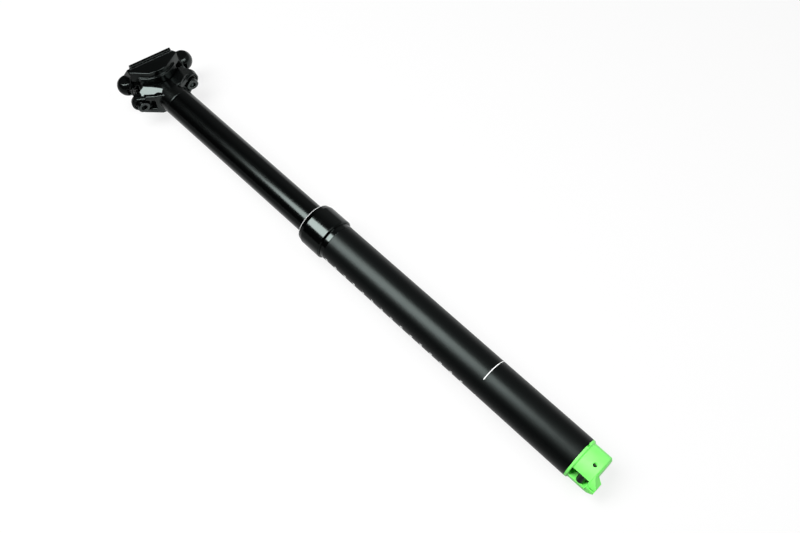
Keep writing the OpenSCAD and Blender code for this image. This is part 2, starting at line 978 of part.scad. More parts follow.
// A socket-head bolt standing up through an ear
module clamp_bolt(side) {
  socket_depth_hex = bolt_head_h / 2;
  color("black")
    tilted()
      translate([side * bolt_x, 0, 0])
        difference() {
          union() {
            translate([0, 0, bolt_seat - bolt_head_h])
              cylinder(r = bolt_head_d / 2, h = bolt_head_h);
            translate([0, 0, bolt_seat - bevel])
              cylinder(r = bolt_r, h = bolt_end - bolt_seat + bevel);
          }
          translate([0, 0, bolt_seat - bolt_head_h - cut])
            hexagon(bolt_key, socket_depth_hex + cut);
        }
}

module front_clamp_bolt() {
  clamp_bolt(1);
}

module rear_clamp_bolt() {
  clamp_bolt(-1);
}

// Boat-shaped side of the cradle, deepest under the middle of the rail
module cradle_side() {
  half = seat_l / 2;
  polygon([
    [-half, seat_top],
    [-half - end_run, seat_top - end_drop],
    [-bilge_x, ear_base + bilge_rise],
    [0, ear_base + keel_rise],
    [bilge_x, ear_base + bilge_rise],
    [half + end_run, seat_top - end_drop],
    [half, seat_top]
  ]);
}

// Both rails' shapes, for the grooves of the cradle and the upper clamp
module rail_grooves() {
  for (side = [-1, 1])
    translate([0, side * rail_y, rail_h])
      rotate([0, 90, 0])
        cylinder(r = rail_r, h = 4 * seat_l, center = true);
}

module lower_cradle() {
  shoe_low = axis_h - rock_r - cut;
  plate_y = (cradle_w - plate_w) / 2;
  color("black")
    tilted()
      difference() {
        union() {
          for (side = [-1, 1])
            translate([0, side * plate_y, 0])
              across(plate_w)
                cradle_side();
          across(cradle_w - plate_w)
            intersection() {
              translate([0, axis_h])
                circle(r = rock_r);
              translate([-shoe_reach, shoe_low])
                square([2 * shoe_reach, shoe_top - shoe_low]);
            }
        }
        rail_grooves();
      }
}

// Plan of the upper clamp's plate: two wings, tapered shoulders and the openings between them
module clamp_plan() {
  bridge_l = block_l - 2 * bridge_gap;
  window_l = (hollow_l - bridge_l) / 2;
  difference() {
    union() {
      square([wing_l, wing_w], center = true);
      for (side = [0, 1])
        mirror([side, 0])
          polygon([
            [0, -shoulder_w / 2],
            [wing_l / 2 + shoulder_run, -shoulder_w / 2],
            [nose_x - nose_root, -nose_side],
            [nose_x - nose_root, nose_side],
            [wing_l / 2 + shoulder_run, shoulder_w / 2],
            [0, shoulder_w / 2]
          ]);
    }
    for (side = [-1, 1])
      translate([side * (bridge_l + window_l) / 2, 0])
        square([window_l, hollow_w], center = true);
  }
}

// Section of the plate across the post: a low roof over both rails
module wing_section() {
  half = wing_w / 2;
  crown = spine_h + crown_rise;
  polygon([
    [-half, wing_base],
    [half, wing_base],
    [half, wing_base + wing_lip],
    [spine_r, crown],
    [-spine_r, crown],
    [-half, wing_base + wing_lip]
  ]);
}

// The spine with its two round noses, flattened at the sides, on top and level with the wings below
module spine() {
  intersection() {
    union() {
      rotate([0, 90, 0])
        cylinder(r = spine_r, h = 2 * nose_x, center = true);
      for (side = [-1, 1])
        translate([side * nose_x, 0, 0])
          sphere(r = spine_r);
    }
    translate([-2 * nose_x, -nose_half, wing_base - spine_h])
      cube([4 * nose_x, 2 * nose_half, flat_top + spine_h - wing_base]);
  }
}

module upper_clamp() {
  slot_top = spine_h + spine_r + cut;
  color("black")
    tilted()
      difference() {
        union() {
          intersection() {
            rotate([90, 0, 90])
              linear_extrude(height = 2 * nose_x, center = true)
                wing_section();
            linear_extrude(height = slot_top)
              clamp_plan();
          }
          difference() {
            translate([nose_shift, 0, spine_h])
              spine();
            cube([hollow_l, wing_w, 2 * slot_top], center = true);
          }
        }
        rail_grooves();
        translate([-hollow_l / 2, -hollow_w / 2, 0])
          cube([hollow_l, hollow_w, spine_h - roof_t]);
        for (side = [-1, 1])
          translate([side * bolt_x, 0, 0]) {
            translate([0, 0, axis_h])
              rotate([90, 0, 0])
                cylinder(r = nut_r + run_fit, h = nut_len + 2 * run_fit, center = true);
            translate([-nut_r - run_fit, -nut_len / 2 - run_fit, axis_h])
              cube([nut_d + 2 * run_fit, nut_len + 2 * run_fit, slot_top - axis_h]);
            translate([-slot_half, -bolt_r - free_gap, 0])
              cube([2 * slot_half, bolt_d + 2 * free_gap, axis_h]);
          }
      }
}

// A barrel nut lying in a nose, with its bolt's bore
module barrel_nut(side) {
  color("silver")
    tilted()
      translate([side * bolt_x, 0, axis_h])
        difference() {
          rotate([90, 0, 0])
            cylinder(r = nut_r, h = nut_len, center = true);
          cylinder(r = nut_bore_r, h = 2 * nut_d, center = true);
        }
}

module front_barrel_nut() {
  barrel_nut(1);
}

module rear_barrel_nut() {
  barrel_nut(-1);
}

outer_tube();
seal_collar();
wiper_seal();
foam_ring();
upper_bushing();
foot_plug();
cartridge_cylinder();
rod_gland();
valve_pin();
actuator_housing();
housing_screws();
lever_pivot_pin();
actuator_lever();
cable_anchor();
stanchion();
glide_bushing();
guide_keys();
cartridge_rod();
rod_piston();
piston_seal();
piston_nut();
rod_nut();
head();
bolt_washers();
front_clamp_bolt();
rear_clamp_bolt();
lower_cradle();
upper_clamp();
front_barrel_nut();
rear_barrel_nut();
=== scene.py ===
"""Dresses the jointed dropper seatpost and sets it on a pale studio table."""

import json
import math

import bmesh
import bpy
from bpy.props import FloatProperty, FloatVectorProperty, IntProperty, PointerProperty
from mathutils import Matrix, Vector


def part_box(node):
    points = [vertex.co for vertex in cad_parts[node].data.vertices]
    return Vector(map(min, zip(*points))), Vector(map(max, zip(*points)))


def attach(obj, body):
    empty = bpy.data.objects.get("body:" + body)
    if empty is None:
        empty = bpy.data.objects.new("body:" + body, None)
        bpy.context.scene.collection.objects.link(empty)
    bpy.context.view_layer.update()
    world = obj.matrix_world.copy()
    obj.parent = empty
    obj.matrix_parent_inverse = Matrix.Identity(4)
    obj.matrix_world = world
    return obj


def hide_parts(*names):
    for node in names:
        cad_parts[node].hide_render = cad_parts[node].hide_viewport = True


bl_info = {
    "name": "Dropper seatpost",
    "version": (1, 0, 0),
    "blender": (4, 5, 0),
    "location": "View3D > Sidebar > Seatpost",
    "description": "Finishes, printed marks and studio table of a dropper seatpost",
    "category": "Object",
}

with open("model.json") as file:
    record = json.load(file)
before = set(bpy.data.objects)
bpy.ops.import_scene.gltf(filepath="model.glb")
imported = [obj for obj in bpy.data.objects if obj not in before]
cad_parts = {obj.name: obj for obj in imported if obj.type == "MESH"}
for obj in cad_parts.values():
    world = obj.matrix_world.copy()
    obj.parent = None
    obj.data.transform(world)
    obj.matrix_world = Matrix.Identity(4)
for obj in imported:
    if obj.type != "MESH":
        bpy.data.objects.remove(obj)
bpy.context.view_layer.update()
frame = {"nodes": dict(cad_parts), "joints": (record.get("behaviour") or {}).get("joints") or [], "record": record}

MM = 0.001
JOINTS = {joint["name"]: joint for joint in frame["joints"]}
FRONT_NUT = Vector(JOINTS["front_nut_turn"]["pos_m"])
REAR_NUT = Vector(JOINTS["rear_nut_turn"]["pos_m"])
# The saddle clamp's own directions: forwards along the rails, and square to them
ALONG = (FRONT_NUT - REAR_NUT).normalized()
RISE = Vector((-ALONG.z, 0.0, ALONG.x))
TUBE_LOW, TUBE_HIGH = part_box("outer_tube")
TUBE_RADIUS = TUBE_HIGH.x
COLLAR_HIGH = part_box("seal_collar")[1]

# Printed marks: where they start around the tube and how far they sweep, in degrees, and their steps
LINE_START, LINE_SWEEP, LINE_STEPS = -122.6, 293.0, 160
TICK_START, TICK_SWEEP, TICK_STEPS = -214.6, 35.0, 14
# Height of the first depth tick's upper edge
FIRST_TICK = -2.0 * MM

# Points nearer than this are one point, in copies of CAD nodes and in new pieces
SAME_POINT = 0.001 * MM
SAME_NEW_POINT = 0.0005 * MM
# Angles in degrees: within one flat face, across edges that stay sharp and across edges that are rounded
FLAT_ANGLE = 0.4
SHARP_ANGLE = 32.0
ROUND_ANGLE = 34.0
# The collar's crown leans so little that its edge is rounded from a smaller angle
COLLAR_ROUND_ANGLE = 10.0
ROUND_SEGMENTS = 3
# How strongly each pass softens a forged piece
FORGE_FACTOR = 0.5
# Bolt threads: steps in a turn, half the ridge's foot in pitches, and the share of its depth that sinks in
TURN_STEPS = 20
RIDGE_HALF = 0.45
RIDGE_SINK = 0.1

# The bare machined rim at the collar's mouth: height, reach inwards, tone, added roughness and metal
RIM_HEIGHT = 0.85 * MM
RIM_INSET = 1.7 * MM
RIM_TONE = (0.62, 0.63, 0.63, 1.0)
RIM_ROUGH = 0.25
RIM_METAL = 0.35
# Tint of the black finishes' reflections
COOL_SHEEN = (0.85, 1.0, 0.96, 1.0)
# Bare steel on the bolts' worn edges, lightened to serve also as a painted glint on those edges
BOLT_WEAR_AND_GLINT = (0.3, 0.3, 0.3, 1.0)
# Black finishes by slot: roughness and its spread, grain, drawn streaks, worn edges (on the bolts also a painted
# glint) and shine
BLACKS = {
    "tube_black": dict(
        rough=0.36, rough_spread=0.02, grain_scale=2600.0, grain_depth=0.003 * MM, streak=900.0,
        shine=0.25),
    "stanchion_black": dict(
        rough=0.17, rough_spread=0.02, grain_scale=3200.0, grain_depth=0.001 * MM, streak=1600.0,
        shine=0.34),
    "collar_black": dict(
        rough=0.14, rough_spread=0.02, grain_scale=2600.0, grain_depth=0.001 * MM, edge_width=0.25 * MM,
        shine=0.46, rim=(COLLAR_HIGH.x - RIM_INSET, COLLAR_HIGH.z - RIM_HEIGHT)),
    "head_black": dict(
        rough=0.22, rough_spread=0.04, grain_scale=1900.0, grain_depth=0.0015 * MM, edge_width=0.4 * MM),
    "clamp_black": dict(
        rough=0.22, rough_spread=0.04, grain_scale=1900.0, grain_depth=0.0015 * MM, edge_width=0.4 * MM),
    # On the bolts the lighter edges are partly wear and partly a painted glint
    "bolt_black": dict(
        rough=0.14, rough_spread=0.04, grain_scale=2600.0, grain_depth=0.003 * MM, edge_width=0.25 * MM,
        shine=1.0),
    "lever_black": dict(
        rough=0.4, rough_spread=0.05, grain_scale=2600.0, grain_depth=0.006 * MM, edge_width=0.2 * MM),
}
# Metal finishes by slot: tone, roughness, scale of the grain and its stretch
METALS = {
    "plain_aluminium": ((0.72, 0.72, 0.74, 1.0), 0.32, 300.0, (1.0, 1.0, 9.0)),
    "dark_steel": ((0.13, 0.125, 0.12, 1.0), 0.34, 700.0, (1.0, 1.0, 1.0)),
    "steel": ((0.6, 0.6, 0.62, 1.0), 0.24, 500.0, (1.0, 1.0, 6.0)),
    "brass": ((0.72, 0.53, 0.22, 1.0), 0.3, 600.0, (1.0, 1.0, 4.0)),
}
# Rubber, foam and polymer finishes by slot: tone, roughness, scale of the grain and its depth
SOFTS = {
    "rubber_black": ((0.006, 0.006, 0.006, 1.0), 0.6, 2200.0, 0.01 * MM),
    "foam": ((0.5, 0.43, 0.2, 1.0), 0.85, 1400.0, 0.15 * MM),
    "bushing_grey": ((0.2, 0.22, 0.24, 1.0), 0.45, 1800.0, 0.006 * MM),
    "gland_grey": ((0.1, 0.12, 0.12, 1.0), 0.42, 1800.0, 0.006 * MM),
}
# Scales of the patterns: cloudy sheen, uneven tone, chipped edges, clouds and grain of the green, and ink
CLOUD_SCALE = 55.0
TONE_SCALE = 140.0
CHIP_SCALE = 900.0
GREEN_SCALE = 220.0
BLAST_SCALE = 4200.0
INK_SCALE = 1600.0
# Drawn streaks are this much longer along the post
STREAK_STRETCH = (1.0, 1.0, 0.02)

# Camera: its place, the direction of the picture's width and the direction it looks in
CAMERA_PLACE = (-0.2130, -0.5983, -0.2781)
CAMERA_ACROSS = (0.7047, 0.0, -0.7095)
CAMERA_AHEAD = (0.3405, 0.8773, 0.3383)
SENSOR_WIDTH = 36.0
CLIP_NEAR, CLIP_FAR = 0.01, 20.0
# Table: half its size, its lean against the post, its distance behind the post's axis and its paper
TABLE_HALF = 3.0
TABLE_CELLS = 8
TABLE_LEAN = math.atan2(10.7, 467.0)
TABLE_BEHIND = 21.3 * MM
TABLE_PAPER = (0.125, 0.125, 0.125, 1.0)
# The table's glow in reflections: its share of the full glow, and where it rises across the post
MIRRORED_SHARE = 0.7
MIRRORED_FROM, MIRRORED_TO = -0.06, -0.012
# Room in the reflections: its light side, its strength on the dim and on the light side, and where it rises
ROOM_SIDE = (0.942, -0.335, 0.0)
ROOM_DIM, ROOM_LIGHT = 0.01, 0.27
ROOM_FROM, ROOM_TO = 0.35, 0.95
BACKGROUND = (0.96, 0.965, 0.965, 1.0)
# Softboxes: direction from the point that they face, distance, width and height
SOFTBOX = (Vector((-0.355, -0.895, 0.28)), 1.2, 1.1, 0.6)
SOFTBOX_ROLL = -23.0
LOW_FILL = (Vector((0.21, -0.85, -0.48)), 1.05, 0.45, 0.6)


class SeatpostSizes(bpy.types.PropertyGroup):
    """Sizes of the details that the finishing adds."""

    edge_round: FloatProperty(
        name="Edge rounding", description="Width of the rounded edges on machined pieces",
        default=0.5 * MM, min=0.0, unit="LENGTH", subtype="DISTANCE")
    fine_round: FloatProperty(
        name="Fine edge rounding", description="Width of the rounded edges on small turned pieces",
        default=0.15 * MM, min=0.0, unit="LENGTH", subtype="DISTANCE")
    forge_grid: FloatProperty(
        name="Forging grid", description="Spacing of the even skin on the forged pieces",
        default=0.36 * MM, min=0.1 * MM, unit="LENGTH", subtype="DISTANCE")
    forge_passes: IntProperty(
        name="Forging softness", description="How often the forged pieces' edges are softened",
        default=5, min=0)
    bolt_round: FloatProperty(
        name="Bolt rounding", description="Width of the rounded edges on the bolts' heads",
        default=0.3 * MM, min=0.0, unit="LENGTH", subtype="DISTANCE")
    mark_height: FloatProperty(
        name="Mark height", description="Thickness of the printed marks on the tube",
        default=0.02 * MM, min=0.0, unit="LENGTH", subtype="DISTANCE")
    insertion_height: FloatProperty(
        name="Insertion line",
        description="Height of the printed insertion line, from the collar's shoulder",
        default=-156.5 * MM, unit="LENGTH", subtype="DISTANCE")
    insertion_width: FloatProperty(
        name="Insertion line width", description="Width of the printed insertion line",
        default=0.65 * MM, min=0.0, unit="LENGTH", subtype="DISTANCE")
    tick_count: IntProperty(
        name="Depth ticks", description="Number of printed depth ticks along the tube", default=15, min=1)
    tick_pitch: FloatProperty(
        name="Tick spacing", description="Distance from one depth tick to the next",
        default=10 * MM, min=0.0, unit="LENGTH", subtype="DISTANCE")
    tick_width: FloatProperty(
        name="Tick width", description="Width of a depth tick along the tube",
        default=2.4 * MM, min=0.0, unit="LENGTH", subtype="DISTANCE")
    thread_pitch: FloatProperty(
        name="Thread pitch", description="Pitch of the clamp bolts' threads",
        default=1.0 * MM, min=0.0, unit="LENGTH", subtype="DISTANCE")
    thread_radius: FloatProperty(
        name="Thread radius", description="Outer radius of the clamp bolts' threads",
        default=2.98 * MM, min=0.0, unit="LENGTH", subtype="DISTANCE")
    thread_depth: FloatProperty(
        name="Thread depth", description="Depth of the clamp bolts' threads",
        default=0.55 * MM, min=0.0, unit="LENGTH", subtype="DISTANCE")
    thread_below: FloatProperty(
        name="Thread start", description="How far below the barrel nuts the bolts' threads start",
        default=13.0 * MM, min=0.0, unit="LENGTH", subtype="DISTANCE")


class SeatpostColours(bpy.types.PropertyGroup):
    """Colours of the finishes."""

    tube: FloatVectorProperty(
        name="Tube", description="Satin black of the outer tube", subtype="COLOR", size=4,
        default=(0.0011, 0.0012, 0.0013, 1.0), min=0.0, max=1.0)
    gloss: FloatVectorProperty(
        name="Gloss black", description="Black of the collar, stanchion, head and clamp",
        subtype="COLOR", size=4, default=(0.0005, 0.00055, 0.0006, 1.0), min=0.0, max=1.0)
    wear: FloatVectorProperty(
        name="Worn edge", description="Tone that shows along worn black edges", subtype="COLOR", size=4,
        default=(0.03, 0.031, 0.033, 1.0), min=0.0, max=1.0)
    actuator: FloatVectorProperty(
        name="Actuator", description="Green of the actuator housing", subtype="COLOR", size=4,
        default=(0.24, 0.95, 0.18, 1.0), min=0.0, max=1.0)
    mark: FloatVectorProperty(
        name="Printed marks", description="White of the printed marks", subtype="COLOR", size=4,
        default=(0.86, 0.88, 0.87, 1.0), min=0.0, max=1.0)


class SeatpostStage(bpy.types.PropertyGroup):
    """Camera, light and table."""

    lens: FloatProperty(
        name="Lens", description="Focal length of the camera", default=40.5, min=1.0, unit="CAMERA")
    softbox_power: FloatProperty(
        name="Softbox", description="Power of the main softbox", default=24.4, min=0.0, unit="POWER")
    fill_power: FloatProperty(
        name="Fill", description="Power of the small softbox below the foot",
        default=5.0, min=0.0, unit="POWER")
    table_glow: FloatProperty(
        name="Table glow", description="How brightly the pale table shines", default=0.81, min=0.0)


# Materials

def node_of(tree, kind, **values):
    """A new shader node with its plain settings."""
    node = tree.nodes.new(kind)
    for key, value in values.items():
        setattr(node, key, value)
    return node


def start_finish(name):
    """An empty material with a principled shader, and the coordinates that its patterns follow."""
    material = bpy.data.materials.new(name)
    material.use_nodes = True
    tree = material.node_tree
    tree.nodes.clear()
    output = node_of(tree, "ShaderNodeOutputMaterial")
    shader = node_of(tree, "ShaderNodeBsdfPrincipled")
    tree.links.new(shader.outputs["BSDF"], output.inputs["Surface"])
    place = node_of(tree, "ShaderNodeTexCoord")
    return material, tree, shader, place.outputs["Object"]


def stretched(tree, coords, scale):
    """Coordinates scaled differently along the post."""
    mapping = node_of(tree, "ShaderNodeMapping")
    mapping.inputs["Scale"].default_value = scale
    tree.links.new(coords, mapping.inputs["Vector"])
    return mapping.outputs["Vector"]


def noise(tree, coords, scale, detail=4.0, roughness=0.55):
    """A noise pattern's value."""
    node = node_of(tree, "ShaderNodeTexNoise")
    node.inputs["Scale"].default_value = scale
    node.inputs["Detail"].default_value = detail
    node.inputs["Roughness"].default_value = roughness
    tree.links.new(coords, node.inputs["Vector"])
    return node.outputs["Fac"]


def spread(tree, value, low, high, start=0.3, end=0.7):
    """A pattern's value mapped onto a range."""
    node = node_of(tree, "ShaderNodeMapRange")
    node.inputs["From Min"].default_value = start
    node.inputs["From Max"].default_value = end
    node.inputs["To Min"].default_value = low
    node.inputs["To Max"].default_value = high
    tree.links.new(value, node.inputs["Value"])
    return node.outputs["Result"]


def combine(tree, operation, first, second):
    """Two values joined by a sum, product or other operation."""
    node = node_of(tree, "ShaderNodeMath", operation=operation)
    for socket, value in zip(node.inputs, (first, second)):
        if isinstance(value, (int, float)):
            socket.default_value = value
        else:
            tree.links.new(value, socket)
    return node.outputs["Value"]


def blended(tree, amount, first, second):
    """A colour between two others."""
    node = node_of(tree, "ShaderNodeMix", data_type="RGBA")
    tree.links.new(amount, node.inputs["Factor"])
    for socket, value in zip((node.inputs[6], node.inputs[7]), (first, second)):
        if hasattr(value, "is_output"):
            tree.links.new(value, socket)
        else:
            socket.default_value = value
    return node.outputs[2]


def edge_amount(tree, width):
    """How near a point is to a sharp edge, from 0 on open faces to 1 on the edge."""
    rounded = node_of(tree, "ShaderNodeBevel", samples=4)
    rounded.inputs["Radius"].default_value = width
    surface = node_of(tree, "ShaderNodeNewGeometry")
    facing = node_of(tree, "ShaderNodeVectorMath", operation="DOT_PRODUCT")
    tree.links.new(rounded.outputs["Normal"], facing.inputs[0])
    tree.links.new(surface.outputs["Normal"], facing.inputs[1])
    return spread(tree, facing.outputs["Value"], 1.0, 0.0, 0.75, 0.985)


def grained(tree, shader, height, depth, strength=1.0):
    """Fine relief on the shader's normal."""
    bump = node_of(tree, "ShaderNodeBump")
    bump.inputs["Strength"].default_value = strength
    bump.inputs["Distance"].default_value = depth
    tree.links.new(height, bump.inputs["Height"])
    tree.links.new(bump.outputs["Normal"], shader.inputs["Normal"])


def rim_amount(tree, coords, radius, height):
    """1 on the part of a turned rim that lies outside a radius and above a height, else 0."""
    split = node_of(tree, "ShaderNodeSeparateXYZ")
    tree.links.new(coords, split.inputs["Vector"])
    reach = node_of(tree, "ShaderNodeVectorMath", operation="LENGTH")
    tree.links.new(stretched(tree, coords, (1.0, 1.0, 0.0)), reach.inputs[0])
    outside = combine(tree, "GREATER_THAN", reach.outputs["Value"], radius)
    return combine(tree, "MULTIPLY", outside, combine(tree, "GREATER_THAN", split.outputs["Z"], height))


def shaded(tone, share):
    """A darker tone."""
    return tuple(share * channel for channel in tone[:3]) + (1.0,)


def black_finish(name, tone, wear, rough, rough_spread, grain_scale, grain_depth, edge_width=0.0,
                 streak=0.0, shine=0.5, rim=None):
    """Black anodising: cloudy sheen, fine grain, drawn streaks, lighter worn edges (on the bolts also a painted
    glint) and a rim cut bare.
    """
    material, tree, shader, coords = start_finish(name)
    shader.inputs["Specular IOR Level"].default_value = shine
    shader.inputs["Specular Tint"].default_value = COOL_SHEEN
    cloud = noise(tree, coords, CLOUD_SCALE)
    if streak:
        lines = noise(tree, stretched(tree, coords, STREAK_STRETCH), streak, 2.0)
        halves = [combine(tree, "MULTIPLY", pattern, 0.5) for pattern in (cloud, lines)]
        cloud = combine(tree, "ADD", *halves)
    roughness = spread(tree, cloud, rough - rough_spread, rough + rough_spread)
    colour = blended(tree, noise(tree, coords, TONE_SCALE, 3.0), shaded(tone, 0.75), tone)
    # Lighter edges: wear, and on the bolts also a painted glint
    if edge_width:
        chips = spread(tree, noise(tree, coords, CHIP_SCALE, 5.0), 0.15, 1.0, 0.42, 0.62)
        worn = combine(tree, "MULTIPLY", edge_amount(tree, edge_width), chips)
        colour = blended(tree, worn, colour, wear)
        roughness = combine(tree, "ADD", roughness, combine(tree, "MULTIPLY", worn, 0.08))
    if rim:
        bare = rim_amount(tree, coords, *rim)
        colour = blended(tree, bare, colour, RIM_TONE)
        roughness = combine(tree, "ADD", roughness, combine(tree, "MULTIPLY", bare, RIM_ROUGH))
        tree.links.new(combine(tree, "MULTIPLY", bare, RIM_METAL), shader.inputs["Metallic"])
    tree.links.new(colour, shader.inputs["Base Color"])
    tree.links.new(roughness, shader.inputs["Roughness"])
    grained(tree, shader, noise(tree, coords, grain_scale, 2.0), grain_depth)
    return material


def metal_finish(name, tone, rough, grain_scale, stretch):
    """Bare or plated metal with a turned or drawn grain."""
    material, tree, shader, coords = start_finish(name)
    shader.inputs["Metallic"].default_value = 1.0
    lines = noise(tree, stretched(tree, coords, stretch), grain_scale, 3.0)
    tree.links.new(blended(tree, lines, shaded(tone, 0.7), tone), shader.inputs["Base Color"])
    tree.links.new(spread(tree, lines, rough - 0.08, rough + 0.1), shader.inputs["Roughness"])
    grained(tree, shader, lines, 0.01 * MM, 0.5)
    return material


def soft_finish(name, tone, rough, grain_scale, grain_depth):
    """Rubber, polymer or foam with its own grain."""
    material, tree, shader, coords = start_finish(name)
    grain = noise(tree, coords, grain_scale, 5.0, 0.65)
    tree.links.new(blended(tree, grain, shaded(tone, 0.6), tone), shader.inputs["Base Color"])
    tree.links.new(spread(tree, grain, rough - 0.08, rough + 0.08), shader.inputs["Roughness"])
    grained(tree, shader, grain, grain_depth)
    return material


def green_finish(name, tone):
    """Bright green anodising with a fine blasted grain and a painted highlight along its edges."""
    material, tree, shader, coords = start_finish(name)
    cloud = noise(tree, coords, GREEN_SCALE, 3.0)
    deep = (0.75 * tone[0], 0.94 * tone[1], 0.75 * tone[2], 1.0)
    # The pale tone is a painted highlight for the edges
    pale = (min(1.0, tone[0] + 0.2), 1.0, min(1.0, tone[2] + 0.2), 1.0)
    colour = blended(tree, cloud, deep, tone)
    # Painted highlight: the edges are mixed towards the pale tone
    edges = combine(tree, "MULTIPLY", edge_amount(tree, 0.3 * MM), 0.6)
    colour = blended(tree, edges, colour, pale)
    tree.links.new(colour, shader.inputs["Base Color"])
    tree.links.new(spread(tree, cloud, 0.34, 0.46), shader.inputs["Roughness"])
    grained(tree, shader, noise(tree, coords, BLAST_SCALE, 2.0), 0.006 * MM)
    return material


def mark_finish(name, tone):
    """Printed white ink, slightly uneven."""
    material, tree, shader, coords = start_finish(name)
    ink = noise(tree, coords, INK_SCALE, 4.0)
    tree.links.new(blended(tree, ink, shaded(tone, 0.86), tone), shader.inputs["Base Color"])
    tree.links.new(spread(tree, ink, 0.45, 0.6), shader.inputs["Roughness"])
    grained(tree, shader, ink, 0.004 * MM)
    return material


def finish(slot):
    """The material of a record's slot, made when it is first asked for."""
    name = slot + "_finish"
    made = bpy.data.materials.get(name)
    if made:
        return made
    colours = bpy.context.scene.seatpost_colours
    if slot in BLACKS:
        tone = colours.tube if slot == "tube_black" else colours.gloss
        # The bolts' edges take a pale tone that is partly bare steel and partly a painted glint
        wear = BOLT_WEAR_AND_GLINT if slot == "bolt_black" else colours.wear
        return black_finish(name, tuple(tone), tuple(wear), **BLACKS[slot])
    if slot == "actuator_green":
        return green_finish(name, tuple(colours.actuator))
    if slot == "printed_mark":
        return mark_finish(name, tuple(colours.mark))
    if slot in METALS:
        return metal_finish(name, *METALS[slot])
    return soft_finish(name, *SOFTS[slot])


# Making pieces

def add_piece(name, bm, body, slot, nodes=(), made=True, material=None):
    """Turns a bmesh into a piece that rides on a body and stands for CAD nodes."""
    if made:
        bmesh.ops.remove_doubles(bm, verts=bm.verts, dist=SAME_NEW_POINT)
        bmesh.ops.recalc_face_normals(bm, faces=bm.faces)
    mesh = bpy.data.meshes.new(name)
    bm.to_mesh(mesh)
    bm.free()
    stored = mesh.attributes.get("custom_normal")
    if stored:
        mesh.attributes.remove(stored)
    mesh.shade_smooth()
    mesh.set_sharp_from_angle(angle=math.radians(SHARP_ANGLE))
    mesh.materials.clear()
    mesh.materials.append(material or finish(slot))
    piece = bpy.data.objects.new(name, mesh)
    bpy.context.scene.collection.objects.link(piece)
    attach(piece, body)
    if nodes:
        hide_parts(*nodes)
    return piece


def merged_copy(node, whole=True):
    """A bmesh of a CAD node with its triangles merged and, if asked, its flat faces whole."""
    bm = bmesh.new()
    bm.from_mesh(frame["nodes"][node].data)
    bmesh.ops.remove_doubles(bm, verts=bm.verts, dist=SAME_POINT)
    if whole:
        bmesh.ops.dissolve_limit(
            bm, angle_limit=math.radians(FLAT_ANGLE), use_dissolve_boundaries=False, verts=bm.verts,
            edges=bm.edges, delimit=set())
    return bm


def round_edges(piece, width, angle=ROUND_ANGLE):
    """Rounds a piece's sharp edges."""
    bevel = piece.modifiers.new("Rounded edges", "BEVEL")
    bevel.width = width
    bevel.segments = ROUND_SEGMENTS
    bevel.limit_method = "ANGLE"
    bevel.angle_limit = math.radians(angle)
    bevel.use_clamp_overlap = False
    bevel.harden_normals = True


def dressed(node, name, body, slot, width, angle=ROUND_ANGLE):
    """A finished copy of a CAD node with rounded edges."""
    piece = add_piece(name, merged_copy(node), body, slot, [node], made=False)
    round_edges(piece, width, angle)


def forged(node, name, body, slot, grid, passes):
    """A finished copy of a CAD node with an even skin and the soft edges of a forging."""
    piece = add_piece(name, merged_copy(node, whole=False), body, slot, [node], made=False)
    skin = piece.modifiers.new("Even skin", "REMESH")
    skin.mode = "VOXEL"
    skin.voxel_size = grid
    skin.use_smooth_shade = True
    soft = piece.modifiers.new("Soft edges", "SMOOTH")
    soft.factor = FORGE_FACTOR
    soft.iterations = passes


def thread(length, radius, depth, pitch):
    """A threaded end along Z from the origin: a core with a ridge that winds around it."""
    bm = bmesh.new()
    core = radius - depth
    lapped = core + RIDGE_SINK * depth
    bmesh.ops.create_cone(
        bm, cap_ends=True, segments=2 * TURN_STEPS, radius1=lapped, radius2=lapped, depth=length,
        matrix=Matrix.Translation((0.0, 0.0, length / 2)))
    turns = int(length / pitch) - 1
    foot = RIDGE_HALF * pitch
    ridge = [bm.verts.new((x, 0.0, z)) for x, z in ((core, 0.0), (radius, foot), (core, 2 * foot))]
    edges = [bm.edges.new((ridge[i], ridge[i - 1])) for i in range(len(ridge))]
    bmesh.ops.spin(
        bm, geom=ridge + edges, cent=(0, 0, 0), axis=(0, 0, 1), dvec=(0.0, 0.0, pitch / TURN_STEPS),
        angle=2 * math.pi * turns, steps=TURN_STEPS * turns, use_merge=False, use_duplicate=False)
    bmesh.ops.holes_fill(bm, edges=[edge for edge in bm.edges if edge.is_boundary], sides=3)
    return bm


def coat(node, slot):
    """Gives a CAD node that keeps its shape its finish."""
    materials = frame["nodes"][node].data.materials
    materials.clear()
    materials.append(finish(slot))


def band(radius, height, width, thickness, start, sweep, steps):
    """A thin band of ink around the post, from its start angle in degrees."""
    bm = bmesh.new()
    inner, outer = radius - thickness, radius + thickness
    corners = [(inner, height), (outer, height), (outer, height + width), (inner, height + width)]
    verts = [bm.verts.new((r, 0.0, z)) for r, z in corners]
    for first, second in zip(verts, verts[1:] + verts[:1]):
        bm.edges.new((first, second))
    turn = Matrix.Rotation(math.radians(start), 3, "Z")
    bmesh.ops.rotate(bm, verts=bm.verts, cent=(0, 0, 0), matrix=turn)
    bmesh.ops.spin(
        bm, geom=bm.verts[:] + bm.edges[:], cent=(0, 0, 0), axis=(0, 0, 1), angle=math.radians(sweep),
        steps=steps, use_merge=False, use_duplicate=False)
    bmesh.ops.holes_fill(bm, edges=[edge for edge in bm.edges if edge.is_boundary], sides=4)
    return bm


